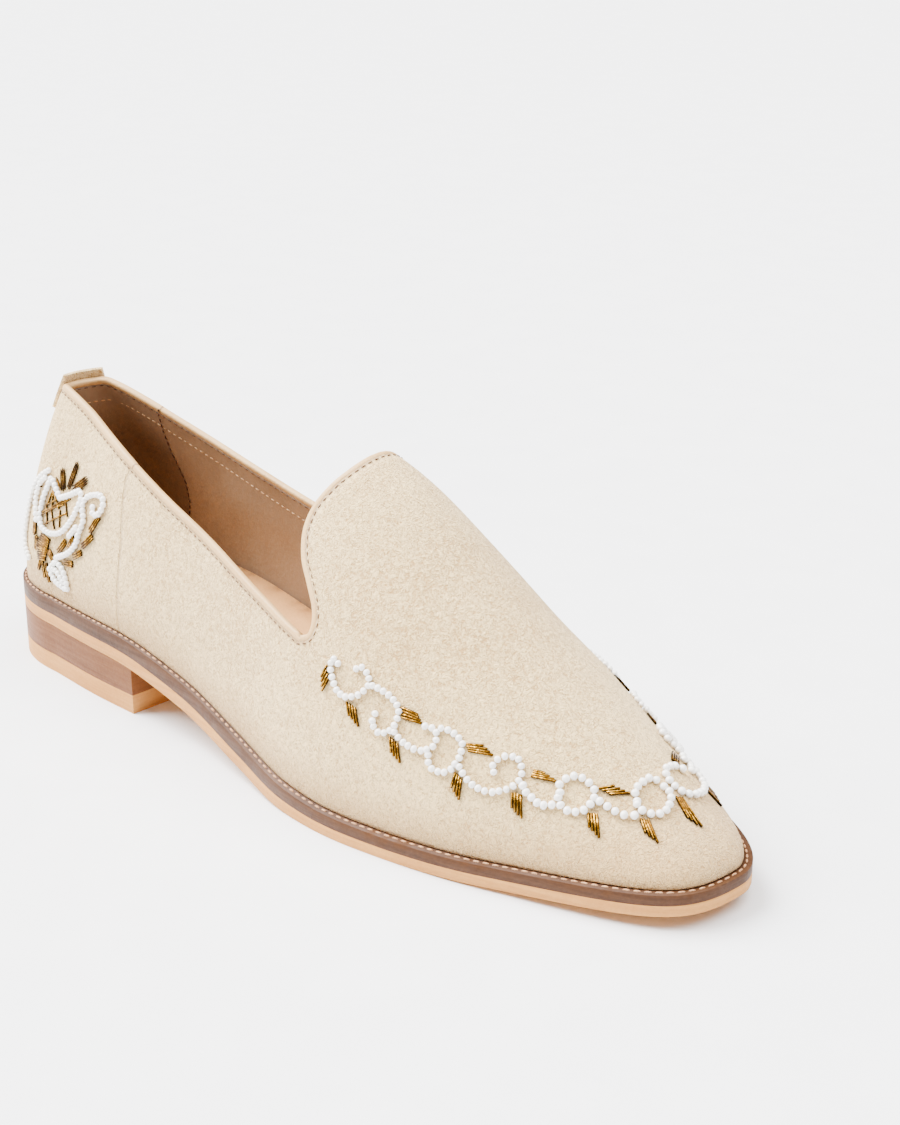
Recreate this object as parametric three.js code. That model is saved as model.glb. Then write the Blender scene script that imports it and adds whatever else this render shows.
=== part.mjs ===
// Embellished loafer, right foot: a suede slip-on with a welted leather sole and a low stacked heel.
// Millimetres. X runs from heel to toe, Y to the wearer's left, Z up. The floor is z = 0.
// Tables are written from the back of the heel (x = 0) and the last lines move the origin
// to the middle of the shoe's footprint.

import * as THREE from 'three';
import { mergeVertices } from 'three/addons/utils/BufferGeometryUtils.js';

// Driving sizes
const SOLE_LENGTH = 293.3;
const HEEL_HALF_WIDTH = 31.5;
const HEEL_ARC_DEPTH = 36;
const HEEL_ARC_POWER = 2.4;
const TOE_ARC_START = 246;
const TOE_TIP_Y = 3.8;
const TOE_HANDLES = { lateral: [0.8, 0.62], medial: [0.5, 0.36] };
const HEEL_BREAST_X = 81;
const TOP_LIFT_HEIGHT = 6.4;
const UPPER_WALL = 2;
const INSOLE_THICKNESS = 2.6;
const GAP = 0.3;
const EDGE_CHAMFER = 0.5;
const HEEL_POLE_X = 20.6;
const TOE_POLE_X = 268;
const HEEL_POLE_BLEND = 4;
const TOE_POLE_BLEND = 6;
const LEVEL_CROWN_X = 60;
const STEEPEST_CROWN = -0.62;
const NOTCH_X = 161.5;
const TONGUE_CENTRE_X = 155.6;
const TONGUE_FOOT_X = 208;
const TOE_COLUMNS_WAY = 2.16;
const COLUMN_BEND = 4;
const COLUMN_SPREAD = 0.6;
const QUARTER_SPREAD = 0.9;
const COLLAR_BINDING_HEIGHT = 1.9;
const COLLAR_BINDING_THICKNESS = 2.3;
const TAB_HALF_TURN = { lateral: 0.4, medial: 0.6 };
const TAB_FOOT_SHARE = 0.9;
const TAB_SPREAD = 1.2;
const TAB_DROP = 7;
const TAB_RISE = 4.6;
const TAB_CLEARANCE = 0.4;
const TAB_THICKNESS = 1.2;
const FOOTPRINT_CENTRE = { x: SOLE_LENGTH / 2, y: 2.184 };

// How finely the sections are cut
const QUARTER_COLUMNS = 24;
const TONGUE_COLUMNS = 14;
const VAMP_COLUMNS = 11;
const TOE_COLUMNS = 9;
const UPPER_ROWS = 12;
const ARC_STEPS = 12;
const SIDE_STEPS = 24;
const BINDING_SIDES = 8;
const TAB_COLUMNS = 8;
const TAB_ROWS = 6;
const EDGE_STEP = 0.02;

const LATERAL = -1;
const MEDIAL = 1;

// A table with named columns, one row for each section
function rows(names, values) {
  return values.map((row) => Object.fromEntries(names.map((name, i) => [name, row[i]])));
}

// Outline of the sole: half widths on the outer (lateral) and inner (medial) side
const soleOutline = rows(['x', 'lateral', 'medial'], [
  [36, 31.5, 31.5],
  [60, 33.4, 31.7],
  [85, 33.8, 30.8],
  [110, 34.6, 31.6],
  [140, 39.6, 36.6],
  [165, 44.6, 43.0],
  [185, 45.6, 48.0],
  [205, 43.4, 50.0],
  [225, 39.6, 47.6],
  [246, 33.6, 40.0],
]);

// Side view of the sole: underside above the floor, and thickness of outsole and welt
const soleProfile = rows(['x', 'under', 'outsole', 'welt'], [
  [0, 17.7, 3.9, 5.1],
  [40, 17.0, 4.0, 5.1],
  [80, 15.6, 4.2, 5.0],
  [105, 10.8, 4.2, 4.9],
  [135, 4.5, 4.1, 4.8],
  [160, 0.7, 3.8, 4.2],
  [180, 0.0, 3.4, 3.6],
  [205, 0.0, 3.3, 3.4],
  [230, 0.7, 3.2, 3.2],
  [260, 2.5, 3.2, 3.1],
  [293.3, 4.8, 3.2, 3.0],
]);

// The last: height and sideways place of its ridge, and how far the welt stands out from it
const lastRidge = rows(['x', 'height', 'shift', 'welt'], [
  [0, 102, 0, 1.6],
  [20, 102, 0, 1.6],
  [55, 103, 0, 1.7],
  [90, 101.5, 1.5, 1.8],
  [125, 98.5, 4.5, 2.0],
  [148, 97, 7, 2.2],
  [165, 91, 6.6, 2.4],
  [185, 79, 5.5, 2.6],
  [205, 65.6, 4.6, 2.6],
  [225, 53.3, 4.2, 2.6],
  [246, 41.0, 3.8, 2.6],
  [268, 28.0, 3.4, 2.6],
  [293.3, 13.0, 3.4, 2.6],
]);

// Shape of the cross sections: wall height and outward lean at the sole, roundness of the crown
const lastSection = rows(['x', 'wall', 'lean', 'crownLateral', 'crownMedial'], [
  [0, 0.33, 0.03, 0.27, 0.27],
  [60, 0.35, 0.10, 0.27, 0.27],
  [120, 0.37, 0.06, 0.45, 0.46],
  [150, 0.38, 0.03, 0.50, 0.62],
  [205, 0.42, 0.02, 0.55, 0.48],
  [246, 0.35, 0.03, 0.60, 0.50],
  [293.3, 0.33, 0.05, 0.60, 0.52],
]);

// Edge of the suede along the quarters, from the back of the heel to the bottom of the notch
const collarLine = rows(['x', 'lateral', 'medial'], [
  [0, 89.2, 89.2],
  [20, 90.2, 89.6],
  [36, 87.0, 85.4],
  [49, 83.0, 80.8],
  [67, 77.2, 74.8],
  [88, 70.4, 68.4],
  [101, 66.4, 64.6],
  [112, 62.9, 61.4],
  [127, 58.2, 57.2],
  [143, 53.9, 53.4],
  [152, 51.6, 51.4],
  [161.5, 49.6, 49.6],
]);

// Edge of the tongue, from the notch up and round to its middle
const tongueLine = rows(['x', 'height'], [
  [161.5, 49.6],
  [165.3, 51.3],
  [166.2, 55.1],
  [164.2, 59.9],
  [159.1, 65.3],
  [153.8, 70.4],
  [150.4, 76.3],
  [149.8, 82.1],
  [151.7, 87.8],
  [154.1, 92.0],
]);

// Smooth curve through one column of a table
function along(table, column) {
  const xs = table.map((row) => row.x);
  const ys = table.map((row) => row[column]);
  const last = xs.length - 1;
  const rise = xs.slice(1).map((x, i) => (ys[i + 1] - ys[i]) / (x - xs[i]));
  const slope = xs.map((x, i) => {
    if (i === 0) return rise[0];
    if (i === last) return rise[last - 1];
    const before = x - xs[i - 1];
    const after = xs[i + 1] - x;
    return (rise[i - 1] * after + rise[i] * before) / (before + after);
  });
  return (x) => {
    const place = Math.min(Math.max(x, xs[0]), xs[last]);
    let i = 0;
    while (i < last - 1 && xs[i + 1] <= place) i += 1;
    const span = xs[i + 1] - xs[i];
    const t = (place - xs[i]) / span;
    const tt = t * t;
    const ttt = tt * t;
    return (2 * ttt - 3 * tt + 1) * ys[i] + (ttt - 2 * tt + t) * span * slope[i]
      + (3 * tt - 2 * ttt) * ys[i + 1] + (ttt - tt) * span * slope[i + 1];
  };
}

const halfWidth = {
  [LATERAL]: along(soleOutline, 'lateral'),
  [MEDIAL]: along(soleOutline, 'medial'),
};
const undersideCurve = along(soleProfile, 'under');
const underside = (x) => Math.max(undersideCurve(x), 0);
const outsoleThickness = along(soleProfile, 'outsole');
const weltThickness = along(soleProfile, 'welt');
const ridgeHeight = along(lastRidge, 'height');
const ridgeShift = along(lastRidge, 'shift');
const weltMargin = along(lastRidge, 'welt');
const wallHeight = along(lastSection, 'wall');
const wallLean = along(lastSection, 'lean');
const crown = {
  [LATERAL]: along(lastSection, 'crownLateral'),
  [MEDIAL]: along(lastSection, 'crownMedial'),
};
const collarHeight = {
  [LATERAL]: along(collarLine, 'lateral'),
  [MEDIAL]: along(collarLine, 'medial'),
};
const weltUnder = (x) => underside(x) + outsoleThickness(x);
const weltTop = (x) => weltUnder(x) + weltThickness(x);

function lerp(a, b, t) {
  return a + (b - a) * t;
}

function cubic(a, b, c, d, t) {
  const s = 1 - t;
  return s * s * s * a + 3 * s * s * t * b + 3 * s * t * t * c + t * t * t * d;
}

// Outline of the sole on one side. The way u runs 0 to 1 round the heel, 1 to 2 along the side
// and 2 to 3 round the toe.
function outlinePoint(side, u) {
  if (u <= 1) {
    const turn = u * Math.PI / 2;
    const power = 2 / HEEL_ARC_POWER;
    const back = Math.pow(Math.max(Math.cos(turn), 0), power);
    const out = Math.pow(Math.max(Math.sin(turn), 0), power);
    return new THREE.Vector2(HEEL_ARC_DEPTH * (1 - back), side * HEEL_HALF_WIDTH * out);
  }
  if (u <= 2) {
    const x = lerp(HEEL_ARC_DEPTH, TOE_ARC_START, u - 1);
    return new THREE.Vector2(x, side * halfWidth[side](x));
  }
  const reach = SOLE_LENGTH - TOE_ARC_START;
  const startY = side * halfWidth[side](TOE_ARC_START);
  const slope = side * (halfWidth[side](TOE_ARC_START) - halfWidth[side](TOE_ARC_START - 1));
  const [first, second] = side === LATERAL ? TOE_HANDLES.lateral : TOE_HANDLES.medial;
  const firstReach = first * reach;
  const secondY = TOE_TIP_Y + side * second * Math.abs(startY - TOE_TIP_Y);
  const t = u - 2;
  return new THREE.Vector2(
    cubic(TOE_ARC_START, TOE_ARC_START + firstReach, SOLE_LENGTH, SOLE_LENGTH, t),
    cubic(startY, startY + slope * firstReach, secondY, TOE_TIP_Y, t),
  );
}

// The same outline moved inwards by a margin
function insetPoint(side, u, margin) {
  const step = 0.004;
  const before = outlinePoint(side, Math.max(u - step, 0));
  const after = outlinePoint(side, Math.min(u + step, 3));
  const way = after.sub(before).normalize();
  const point = outlinePoint(side, u);
  point.x += way.y * side * margin;
  point.y -= way.x * side * margin;
  if (u === 0) point.set(margin, 0);
  if (u === 3) point.set(SOLE_LENGTH - margin, TOE_TIP_Y);
  return point;
}

function featherPoint(side, u) {
  return insetPoint(side, u, weltMargin(outlinePoint(side, u).x));
}

function softMax(a, b, blend) {
  return 0.5 * (a + b + Math.hypot(a - b, blend));
}

// Where the section at u meets the ridge, the same for both sides
function ridgePlace(u) {
  const x = (outlinePoint(LATERAL, u).x + outlinePoint(MEDIAL, u).x) / 2;
  return -softMax(-softMax(x, HEEL_POLE_X, HEEL_POLE_BLEND), -TOE_POLE_X, TOE_POLE_BLEND);
}

// A point of the last: v runs from 0 at the welt to 1 at the ridge
function lastPoint(side, u, v) {
  const foot = featherPoint(side, u);
  const ridgeX = ridgePlace(u);
  const top = ridgeHeight(ridgeX);
  const bottom = weltTop(foot.x) + GAP;
  const fallAlong = (ridgeHeight(ridgeX + 1) - ridgeHeight(ridgeX - 1)) / 2;
  const slope = ridgeX < LEVEL_CROWN_X ? 0 : Math.max(fallAlong, STEEPEST_CROWN);
  const round = lerp(crown[side](foot.x), crown[-side](foot.x), Math.max(u - 2, 0) / 2);
  const inward = cubic(0, -wallLean(foot.x), 1 - round, 1, v);
  const upward = cubic(0, wallHeight(foot.x), 1, 1, v);
  const fall = 3 * (1 - v) * v * v * round * slope * (foot.x - ridgeX);
  return new THREE.Vector3(
    lerp(foot.x, ridgeX, inward),
    lerp(foot.y, ridgeShift(ridgeX), inward),
    lerp(bottom, top, upward) + fall,
  );
}

// The v at which a section of the last reaches a height
function heightToV(side, u, height) {
  let low = 0;
  let high = 1;
  for (let i = 0; i < 30; i += 1) {
    const middle = (low + high) / 2;
    if (lastPoint(side, u, middle).z < height) low = middle;
    else high = middle;
  }
  return (low + high) / 2;
}

function sideWay(x) {
  return 1 + (x - HEEL_ARC_DEPTH) / (TOE_ARC_START - HEEL_ARC_DEPTH);
}

const tongueCurve = new THREE.CatmullRomCurve3(
  [...tongueLine.map((row) => new THREE.Vector3(row.x, row.height, 0)),
    new THREE.Vector3(TONGUE_CENTRE_X, ridgeHeight(TONGUE_CENTRE_X) - 0.2, 0)],
  false,
  'centripetal',
);

// The columns of the upper on one side: each runs from the welt to the collar, the tongue's edge,
// the ridge or the toe pole
function upperColumns(side) {
  const columns = [];
  const notchWay = sideWay(NOTCH_X);
  for (let i = 0; i < QUARTER_COLUMNS; i += 1) {
    const u = notchWay * Math.pow(i / QUARTER_COLUMNS, QUARTER_SPREAD);
    const height = collarHeight[side](outlinePoint(side, u).x);
    columns.push({ foot: u, top: u, v: heightToV(side, u, height), edge: true });
  }
  for (let i = 0; i <= TONGUE_COLUMNS; i += 1) {
    const part = i / TONGUE_COLUMNS;
    const place = tongueCurve.getPoint(part);
    const top = sideWay(place.x);
    const v = i === TONGUE_COLUMNS ? 1 : heightToV(side, top, place.y);
    const footX = lerp(NOTCH_X, TONGUE_FOOT_X, Math.pow(part, COLUMN_SPREAD));
    columns.push({ foot: sideWay(footX), top, v, edge: true });
  }
  for (let i = 1; i <= VAMP_COLUMNS; i += 1) {
    const part = i / VAMP_COLUMNS;
    const foot = lerp(sideWay(TONGUE_FOOT_X), TOE_COLUMNS_WAY, part);
    const top = lerp(sideWay(TONGUE_CENTRE_X), TOE_COLUMNS_WAY, part);
    columns.push({ foot, top, v: 1, edge: false });
  }
  for (let i = 1; i <= TOE_COLUMNS; i += 1) {
    const u = lerp(TOE_COLUMNS_WAY, 3, i / TOE_COLUMNS);
    columns.push({ foot: u, top: u, v: 1, edge: false });
  }
  return columns;
}

function columnPoint(side, column, part) {
  const bend = Math.pow(part, COLUMN_BEND);
  return lastPoint(side, lerp(column.foot, column.top, bend), column.v * part);
}

// Collects points and triangles of a surface
class Sheet {
  constructor() {
    this.points = [];
    this.faces = [];
  }

  add(point) {
    this.points.push(point);
    return this.points.length - 1;
  }

  quad(a, b, c, d, flip) {
    if (flip) this.faces.push([a, c, b], [a, d, c]);
    else this.faces.push([a, b, c], [a, c, d]);
  }

  // A grid of points; flip turns the faces over
  grid(lines, flip) {
    const ids = lines.map((line) => line.map((point) => this.add(point)));
    for (let i = 0; i + 1 < ids.length; i += 1) {
      for (let j = 0; j + 1 < ids[i].length; j += 1) {
        this.quad(ids[i][j], ids[i + 1][j], ids[i + 1][j + 1], ids[i][j + 1], flip);
      }
    }
  }

  // One indexed geometry, with the points that lie together joined and thin triangles dropped
  geometry() {
    const raw = new THREE.BufferGeometry();
    const flat = this.points.flatMap((point) => [point.x, point.y, point.z]);
    raw.setAttribute('position', new THREE.Float32BufferAttribute(flat, 3));
    raw.setIndex(this.faces.flat());
    const joined = mergeVertices(raw, 0.01);
    const index = joined.getIndex().array;
    const kept = [];
    for (let i = 0; i < index.length; i += 3) {
      const [a, b, c] = index.slice(i, i + 3);
      if (a !== b && b !== c && c !== a) kept.push(a, b, c);
    }
    joined.setIndex(kept);
    return joined;
  }
}

function vectorAt(attribute, i) {
  return new THREE.Vector3().fromBufferAttribute(attribute, i);
}

// Gives an open surface a wall: a second surface behind it, and rims along its free edges
function withWall(surface, wall) {
  surface.computeVertexNormals();
  const position = surface.getAttribute('position');
  const normal = surface.getAttribute('normal');
  const index = Array.from(surface.getIndex().array);
  const used = new Map();
  for (let i = 0; i < index.length; i += 3) {
    for (let k = 0; k < 3; k += 1) {
      used.set(`${index[i + k]} ${index[i + (k + 1) % 3]}`, [index[i + k], index[i + (k + 1) % 3]]);
    }
  }
  const rim = [...used.values()].filter(([a, b]) => !used.has(`${b} ${a}`));
  const rimPoints = new Set(rim.flat());
  const sheet = new Sheet();
  for (let i = 0; i < position.count; i += 1) sheet.add(vectorAt(position, i));
  for (let i = 0; i < position.count; i += 1) {
    const inner = vectorAt(position, i).addScaledVector(vectorAt(normal, i), -wall);
    const atWelt = rimPoints.has(i) && Math.abs(position.getZ(i) - weltTop(position.getX(i)) - GAP) < 0.01;
    if (atWelt) inner.z = Math.max(position.getZ(i), weltTop(inner.x) + GAP);
    sheet.add(inner);
  }
  const shift = position.count;
  for (let i = 0; i < index.length; i += 3) {
    sheet.faces.push([index[i], index[i + 1], index[i + 2]]);
    sheet.faces.push([index[i] + shift, index[i + 2] + shift, index[i + 1] + shift]);
  }
  rim.forEach(([a, b]) => sheet.quad(b, a, a + shift, b + shift, false));
  return sheet.geometry();
}

function upperSurface() {
  const sheet = new Sheet();
  [LATERAL, MEDIAL].forEach((side) => {
    const lines = upperColumns(side).map((column) => {
      const line = [];
      for (let j = 0; j <= UPPER_ROWS; j += 1) line.push(columnPoint(side, column, j / UPPER_ROWS));
      return line;
    });
    sheet.grid(lines, side === MEDIAL);
  });
  return sheet.geometry();
}

// Steps of the way u from the back of the heel to the toe tip
function outlineSteps(lastWay) {
  const steps = [];
  for (let i = 0; i < ARC_STEPS; i += 1) steps.push(i / ARC_STEPS);
  for (let i = 0; i < SIDE_STEPS; i += 1) steps.push(1 + i / SIDE_STEPS);
  for (let i = 0; i <= ARC_STEPS; i += 1) steps.push(2 + i / ARC_STEPS);
  return steps.filter((u) => u < lastWay - 0.001).concat(lastWay);
}

// A plate that follows the sole's outline: rings from its underside to its top, closed by
// strips across. Each ring has a margin and a height.
function plate(rings, lastWay = 3) {
  const steps = outlineSteps(lastWay);
  const sheet = new Sheet();
  const ringPoint = (ring, side, u) => {
    const point = insetPoint(side, u, ring.margin(outlinePoint(side, u).x));
    if (lastWay < 3 && u === lastWay) point.x = HEEL_BREAST_X;
    return new THREE.Vector3(point.x, point.y, ring.height(point.x));
  };
  [LATERAL, MEDIAL].forEach((side) => {
    const lines = steps.map((u) => rings.map((ring) => ringPoint(ring, side, u)));
    sheet.grid(lines, side === MEDIAL);
  });
  const across = (ring) => steps.map((u) => [ringPoint(ring, LATERAL, u), ringPoint(ring, MEDIAL, u)]);
  sheet.grid(across(rings[0]), true);
  sheet.grid(across(rings[rings.length - 1]), false);
  if (lastWay < 3) {
    const breast = [LATERAL, MEDIAL].map((side) => rings.map((ring) => ringPoint(ring, side, lastWay)));
    sheet.grid(breast, false);
  }
  return sheet.geometry();
}

const none = () => 0;
const chamfer = () => EDGE_CHAMFER;

function outsole() {
  return plate([
    { margin: chamfer, height: underside },
    { margin: none, height: (x) => underside(x) + EDGE_CHAMFER },
    { margin: none, height: (x) => weltUnder(x) - GAP },
  ]);
}

function welt() {
  return plate([
    { margin: none, height: weltUnder },
    { margin: none, height: (x) => weltTop(x) - EDGE_CHAMFER },
    { margin: chamfer, height: weltTop },
  ]);
}

function heelStack() {
  return plate([
    { margin: none, height: () => TOP_LIFT_HEIGHT + GAP },
    { margin: none, height: (x) => underside(x) - GAP },
  ], sideWay(HEEL_BREAST_X));
}

function topLift() {
  return plate([
    { margin: chamfer, height: none },
    { margin: none, height: chamfer },
    { margin: none, height: () => TOP_LIFT_HEIGHT },
  ], sideWay(HEEL_BREAST_X));
}

function insole() {
  const margin = (x) => weltMargin(x) + UPPER_WALL + 2 * GAP;
  return plate([
    { margin, height: (x) => weltTop(x) + GAP },
    { margin, height: (x) => weltTop(x) + GAP + INSOLE_THICKNESS - EDGE_CHAMFER },
    { margin: (x) => margin(x) + EDGE_CHAMFER, height: (x) => weltTop(x) + GAP + INSOLE_THICKNESS },
  ]);
}

// Places along the suede's edge, once round the foot opening: a point, the way out of the
// leather and the way up beyond the edge
function collarStations() {
  const round = [LATERAL, MEDIAL].map((side) => upperColumns(side).filter((column) => column.edge)
    .map((column) => {
      const step = 0.03;
      const point = columnPoint(side, column, 1);
      const below = columnPoint(side, column, 1 - step);
      const beside = lastPoint(side, column.top + 0.01, column.v);
      const out = point.clone().sub(below).cross(beside.sub(point)).multiplyScalar(side).normalize();
      return { point, out };
    }));
  const back = round[1].slice(1, -1).reverse();
  const loop = [...round[0], ...back];
  const middle = round[0].length - 1;
  loop[middle].out.set(loop[middle].out.x, 0, loop[middle].out.z).normalize();
  loop[0].out.set(loop[0].out.x, 0, loop[0].out.z).normalize();
  return loop.map((station, i) => {
    const before = loop[(i + loop.length - 1) % loop.length].point;
    const after = loop[(i + 1) % loop.length].point;
    const way = after.clone().sub(before).normalize();
    const up = station.out.clone().cross(way).normalize();
    const out = way.cross(up).normalize();
    return { point: station.point, out, up };
  });
}

// The folded leather strip that finishes the foot opening
function collarBinding() {
  const sheet = new Sheet();
  const stations = collarStations();
  const lines = [...stations, stations[0]].map(({ point, out, up }) => {
    const middle = point.clone().addScaledVector(out, -UPPER_WALL / 2)
      .addScaledVector(up, GAP + COLLAR_BINDING_HEIGHT / 2);
    const line = [];
    for (let k = 0; k <= BINDING_SIDES; k += 1) {
      const turn = (k % BINDING_SIDES + 0.5) * 2 * Math.PI / BINDING_SIDES;
      const across = Math.sign(Math.cos(turn)) * Math.sqrt(Math.abs(Math.cos(turn)));
      const high = Math.sign(Math.sin(turn)) * Math.sqrt(Math.abs(Math.sin(turn)));
      line.push(middle.clone().addScaledVector(out, across * COLLAR_BINDING_THICKNESS / 2)
        .addScaledVector(up, high * COLLAR_BINDING_HEIGHT / 2));
    }
    return line;
  });
  sheet.grid(lines, false);
  return sheet.geometry();
}

// The suede tab that stands over the back of the collar
function heelTab() {
  const lines = [];
  for (let i = -TAB_COLUMNS; i <= TAB_COLUMNS; i += 1) {
    const side = i < 0 ? LATERAL : MEDIAL;
    const halfTurn = i < 0 ? TAB_HALF_TURN.lateral : TAB_HALF_TURN.medial;
    const line = [];
    for (let j = 0; j <= TAB_ROWS; j += 1) {
      const drop = lerp(-TAB_DROP, TAB_RISE, j / TAB_ROWS);
      const narrow = lerp(TAB_FOOT_SHARE, 1, j / TAB_ROWS);
      const u = Math.pow(Math.abs(i) / TAB_COLUMNS, TAB_SPREAD) * halfTurn * narrow;
      const edge = heightToV(side, u, collarHeight[side](outlinePoint(side, u).x));
      const top = lastPoint(side, u, edge);
      const low = lastPoint(side, u, edge - EDGE_STEP);
      const climb = top.clone().sub(low);
      const v = edge + EDGE_STEP * drop / climb.length();
      const point = drop < 0 ? lastPoint(side, u, v) : top.clone().addScaledVector(climb.normalize(), drop);
      line.push(point);
    }
    lines.push(line);
  }
  const middle = new Sheet();
  middle.grid(lines, true);
  const inner = middle.geometry();
  inner.computeVertexNormals();
  const position = inner.getAttribute('position');
  const normal = inner.getAttribute('normal');
  const outer = new Sheet();
  for (let i = 0; i < position.count; i += 1) {
    outer.add(vectorAt(position, i).addScaledVector(vectorAt(normal, i), TAB_CLEARANCE + TAB_THICKNESS));
  }
  const index = inner.getIndex().array;
  for (let i = 0; i < index.length; i += 3) outer.faces.push([index[i], index[i + 1], index[i + 2]]);
  return withWall(outer.geometry(), TAB_THICKNESS);
}

const suede = { color: 0xe6d9c0, roughness: 0.95, metalness: 0 };
const bindingLeather = { color: 0xdcc0a2, roughness: 0.55, metalness: 0 };
const sockLeather = { color: 0xc09a7a, roughness: 0.6, metalness: 0 };
const weltLeather = { color: 0x7d5138, roughness: 0.45, metalness: 0 };
const naturalLeather = { color: 0xd3ab82, roughness: 0.6, metalness: 0 };
const stackLeather = { color: 0xa9764f, roughness: 0.5, metalness: 0 };

const shoe = new THREE.Group();
[
  ['outsole', outsole(), naturalLeather],
  ['welt', welt(), weltLeather],
  ['heel_stack', heelStack(), stackLeather],
  ['heel_top_lift', topLift(), naturalLeather],
  ['insole', insole(), sockLeather],
  ['upper', withWall(upperSurface(), UPPER_WALL), suede],
  ['collar_binding', collarBinding(), bindingLeather],
  ['heel_tab', heelTab(), suede],
].forEach(([name, geometry, finish]) => {
  const mesh = new THREE.Mesh(geometry, new THREE.MeshStandardMaterial(finish));
  mesh.name = name;
  shoe.add(mesh);
});
shoe.position.set(-FOOTPRINT_CENTRE.x, -FOOTPRINT_CENTRE.y, 0);

export default shoe;
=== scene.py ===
# %% [markdown]
# # A beaded suede loafer
#
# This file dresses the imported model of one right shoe: a slip-on in cream suede with a rounded
# tongue, a bound collar, a garland of pearls and gold round the toe, a crest on the heel and a
# welted leather sole. Every soft surface is worked out again from the same tables as the solids,
# only with many more steps, so the dressed shoe keeps the size of the plain one.

import bmesh
import bpy
import numpy as np
from mathutils import Matrix, Vector


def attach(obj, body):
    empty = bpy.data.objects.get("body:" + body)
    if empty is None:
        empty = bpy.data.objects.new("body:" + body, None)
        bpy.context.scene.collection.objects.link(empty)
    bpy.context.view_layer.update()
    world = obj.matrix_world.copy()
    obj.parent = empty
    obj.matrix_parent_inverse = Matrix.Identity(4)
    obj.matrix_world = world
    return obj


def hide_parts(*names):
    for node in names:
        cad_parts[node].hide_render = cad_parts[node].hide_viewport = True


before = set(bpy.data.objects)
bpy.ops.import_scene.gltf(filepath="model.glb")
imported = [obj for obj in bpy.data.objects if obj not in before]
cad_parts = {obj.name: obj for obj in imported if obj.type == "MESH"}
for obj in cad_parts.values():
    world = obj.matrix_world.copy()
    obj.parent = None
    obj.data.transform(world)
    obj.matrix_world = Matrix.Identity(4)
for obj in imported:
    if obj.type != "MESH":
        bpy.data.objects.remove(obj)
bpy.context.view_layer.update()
random = np.random.default_rng(11)
print("nodes:", sorted(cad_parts))

# %% [markdown]
# ## The shoe's tables
#
# A shoemaker's last is described by sections. Each row below belongs to one place along the
# shoe, in millimetres from the back of the heel, and a smooth curve runs through each column.

# %% Sizes and tables
SOLE_LENGTH = 293.3
HEEL_HALF_WIDTH = 31.5
HEEL_ARC_DEPTH = 36.0
HEEL_ARC_POWER = 2.4
TOE_ARC_START = 246.0
TOE_TIP_Y = 3.8
TOE_HANDLES = {-1: (0.8, 0.62), 1: (0.5, 0.36)}
HEEL_BREAST_X = 81.0
TOP_LIFT_HEIGHT = 6.4
GAP = 0.3
WALL = 2.0
HEEL_POLE_X, HEEL_POLE_BLEND = 20.6, 4
TOE_POLE_X, TOE_POLE_BLEND = 268.0, 6
LEVEL_CROWN_X, STEEPEST_CROWN = 60, -0.62
NOTCH_X = 161.5
TONGUE_CENTRE_X = 155.6
TONGUE_FOOT_X = 208.0
FOOTPRINT_CENTRE = np.array([146.65, 2.184, 0.0])
LATERAL, MEDIAL = SIDES = -1, 1


def columns(names, rows):
    return dict(zip(names.split(), np.array(rows, float).T))


sole_outline = columns("x lateral medial", [
    (36, 31.5, 31.5), (60, 33.4, 31.7), (85, 33.8, 30.8), (110, 34.6, 31.6), (140, 39.6, 36.6),
    (165, 44.6, 43.0), (185, 45.6, 48.0), (205, 43.4, 50.0), (225, 39.6, 47.6), (246, 33.6, 40.0)])
sole_profile = columns("x under outsole welt", [
    (0, 17.7, 3.9, 5.1), (40, 17.0, 4.0, 5.1), (80, 15.6, 4.2, 5.0), (105, 10.8, 4.2, 4.9),
    (135, 4.5, 4.1, 4.8), (160, 0.7, 3.8, 4.2), (180, 0.0, 3.4, 3.6), (205, 0.0, 3.3, 3.4),
    (230, 0.7, 3.2, 3.2), (260, 2.5, 3.2, 3.1), (293.3, 4.8, 3.2, 3.0)])
last_ridge = columns("x height shift welt", [
    (0, 102, 0, 1.6), (20, 102, 0, 1.6), (55, 103, 0, 1.7), (90, 101.5, 1.5, 1.8),
    (125, 98.5, 4.5, 2.0), (148, 97, 7, 2.2), (165, 91, 6.6, 2.4), (185, 79, 5.5, 2.6),
    (205, 65.6, 4.6, 2.6), (225, 53.3, 4.2, 2.6), (246, 41.0, 3.8, 2.6), (268, 28.0, 3.4, 2.6),
    (293.3, 13.0, 3.4, 2.6)])
last_section = columns("x wall lean crown_lateral crown_medial", [
    (0, 0.33, 0.03, 0.27, 0.27), (60, 0.35, 0.10, 0.27, 0.27), (120, 0.37, 0.06, 0.45, 0.46),
    (150, 0.38, 0.03, 0.50, 0.62), (205, 0.42, 0.02, 0.55, 0.48), (246, 0.35, 0.03, 0.60, 0.50),
    (293.3, 0.33, 0.05, 0.60, 0.52)])
collar_line = columns("x lateral medial", [
    (0, 89.2, 89.2), (20, 90.2, 89.6), (36, 87.0, 85.4), (49, 83.0, 80.8), (67, 77.2, 74.8),
    (88, 70.4, 68.4), (101, 66.4, 64.6), (112, 62.9, 61.4), (127, 58.2, 57.2), (143, 53.9, 53.4),
    (152, 51.6, 51.4), (161.5, 49.6, 49.6)])
tongue_line = columns("x height", [
    (161.5, 49.6), (165.3, 51.3), (166.2, 55.1), (164.2, 59.9), (159.1, 65.3), (153.8, 70.4),
    (150.4, 76.3), (149.8, 82.1), (151.7, 87.8), (154.1, 92.0), (155.6, 94.9)])
print("outline rows:", len(sole_outline["x"]), "section rows:", len(last_section["x"]))

# %% [markdown]
# ## From tables to surface
#
# `u` says where we are round the shoe: 0 at the back of the heel, 1 to 2 along the side and 3 at
# the toe tip. `v` climbs from 0 at the welt to 1 at the ridge of the last. With these two numbers
# and a side, any bead or stitch can be put on the leather without measuring it again.

# %% Smooth curves through the tables


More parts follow.
